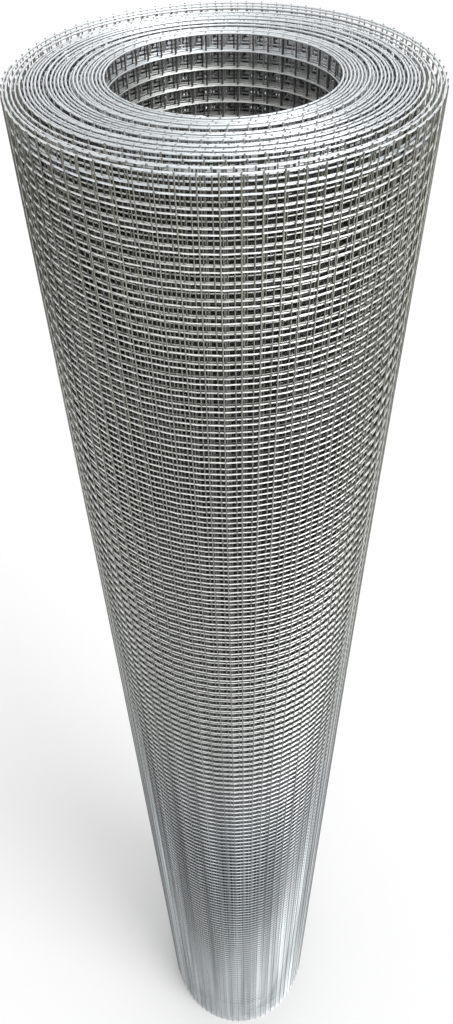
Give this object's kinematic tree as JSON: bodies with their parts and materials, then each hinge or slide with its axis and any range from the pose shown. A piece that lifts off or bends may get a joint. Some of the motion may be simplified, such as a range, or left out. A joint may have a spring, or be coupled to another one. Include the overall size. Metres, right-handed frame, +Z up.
{
  "type": "roll of wire mesh fencing",
  "caption": "Roll of fine square welded wire mesh in galvanised steel, wound around an open bore and standing on end, with its outer turns sprung a little loose.",
  "frame": {"origin": "centre of the bore on the plane the roll stands on", "axes": "+Z up along the bore; -Y towards the viewer of the picture, +X to the right"},
  "size_m": [0.166, 0.166, 1],
  "materials": {
    "galvanised_wire": "bright zinc, slightly dulled"
  },
  "bodies": {
    "root": {"mesh_roll": "galvanised_wire"}
  },
  "joints": []
}
